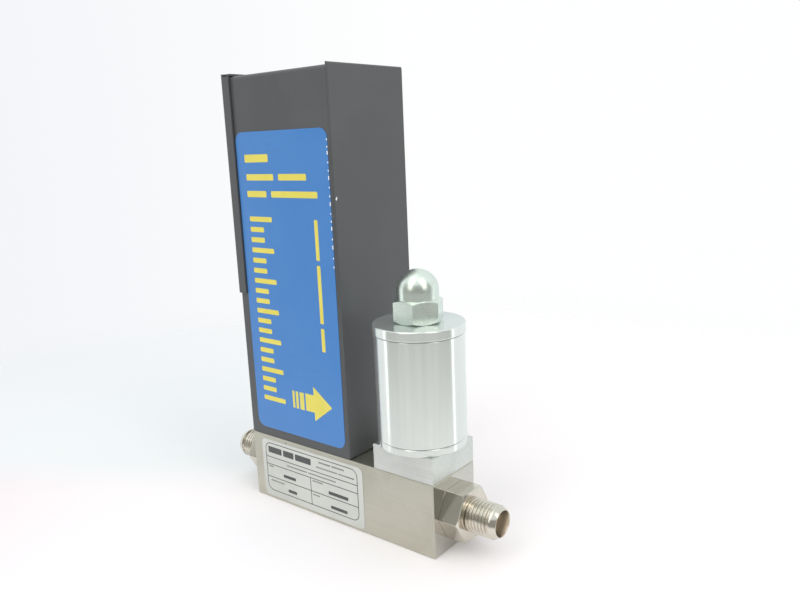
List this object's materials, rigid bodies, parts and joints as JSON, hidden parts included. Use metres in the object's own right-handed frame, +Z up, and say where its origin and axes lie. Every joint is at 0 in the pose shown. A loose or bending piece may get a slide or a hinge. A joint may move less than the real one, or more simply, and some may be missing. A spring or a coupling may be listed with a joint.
{
  "type": "mass flow controller",
  "caption": "Bar-shaped gas flow controller: tall sheet-metal electronics housing on a steel flow body, beside a solenoid valve under an acorn nut, with threaded tube fittings at the ends.",
  "frame": {"origin": "centre of the flow body's flat bottom face", "axes": "+X along the gas flow from inlet to outlet, +Z up, -Y towards the labelled front"},
  "size_m": [0.145, 0.0495, 0.1874],
  "materials": {
    "body_steel": "machined, fine grain along the body",
    "block_steel": "machined, fine grain",
    "fitting_steel": "turned, warm tint",
    "sleeve_steel": "turned and polished",
    "nut_zinc": "bright zinc plate",
    "plain_steel": "turned",
    "screw_steel": "plated",
    "can_metal": "satin",
    "case_paint": "satin, fine texture",
    "black_screw": "black oxide",
    "tinned_shell": "tin plate",
    "gold_pin": "gold plate",
    "copper_wire": "enamelled copper wire",
    "seal_rubber": "matt",
    "black_plastic": "moulded",
    "bobbin_plastic": "moulded",
    "board_green": "solder resist",
    "cable_grey": "ribbed",
    "label_blue": "gloss printed film",
    "label_silver": "satin printed film"
  },
  "bodies": {
    "controller": {"flow_body": "body_steel", "inlet_fitting": "fitting_steel", "outlet_fitting": "fitting_steel", "fitting_seals": "seal_rubber", "inlet_screen": "plain_steel", "flow_restrictor": "plain_steel", "sensor_base": "plain_steel", "sensor_seals": "seal_rubber", "sensor_tube": "plain_steel", "sensor_windings": "copper_wire", "sensor_can": "can_metal", "sensor_screws": "screw_steel", "chassis": "case_paint", "chassis_screws": "screw_steel", "housing_wrap": "case_paint", "wrap_screws": "black_screw", "inlet_cover": "case_paint", "cover_screws": "black_screw", "connector_shell": "tinned_shell", "connector_insert": "black_plastic", "connector_pins": "gold_pin", "jackscrews": "tinned_shell", "connector_board": "board_green", "ribbon_cable": "cable_grey", "ribbon_headers": "black_plastic", "main_board": "board_green", "board_parts": "black_plastic", "board_standoffs": "screw_steel", "board_screws": "screw_steel", "front_label": "label_blue", "rating_label": "label_silver", "valve_block": "block_steel", "valve_seals": "seal_rubber", "valve_screws": "screw_steel", "valve_orifice": "plain_steel", "guide_tube": "plain_steel", "guide_seal": "seal_rubber", "fixed_core": "plain_steel", "plunger_spring": "plain_steel", "coil_bobbin": "bobbin_plastic", "coil_winding": "copper_wire", "base_ring": "sleeve_steel", "solenoid_sleeve": "sleeve_steel", "top_cap": "sleeve_steel", "acorn_nut": "nut_zinc"},
    "plunger": {"plunger": "plain_steel", "plunger_disc": "seal_rubber"}
  },
  "joints": [
    {"name": "plunger_lift", "type": "slide", "parent": "controller", "child": "plunger", "axis": [0, 0, 1], "range_m": [0, 0.0005], "stiffness_N_per_m": 300, "springref_m": -0.002, "deforming": ["plunger_spring"]}
  ]
}
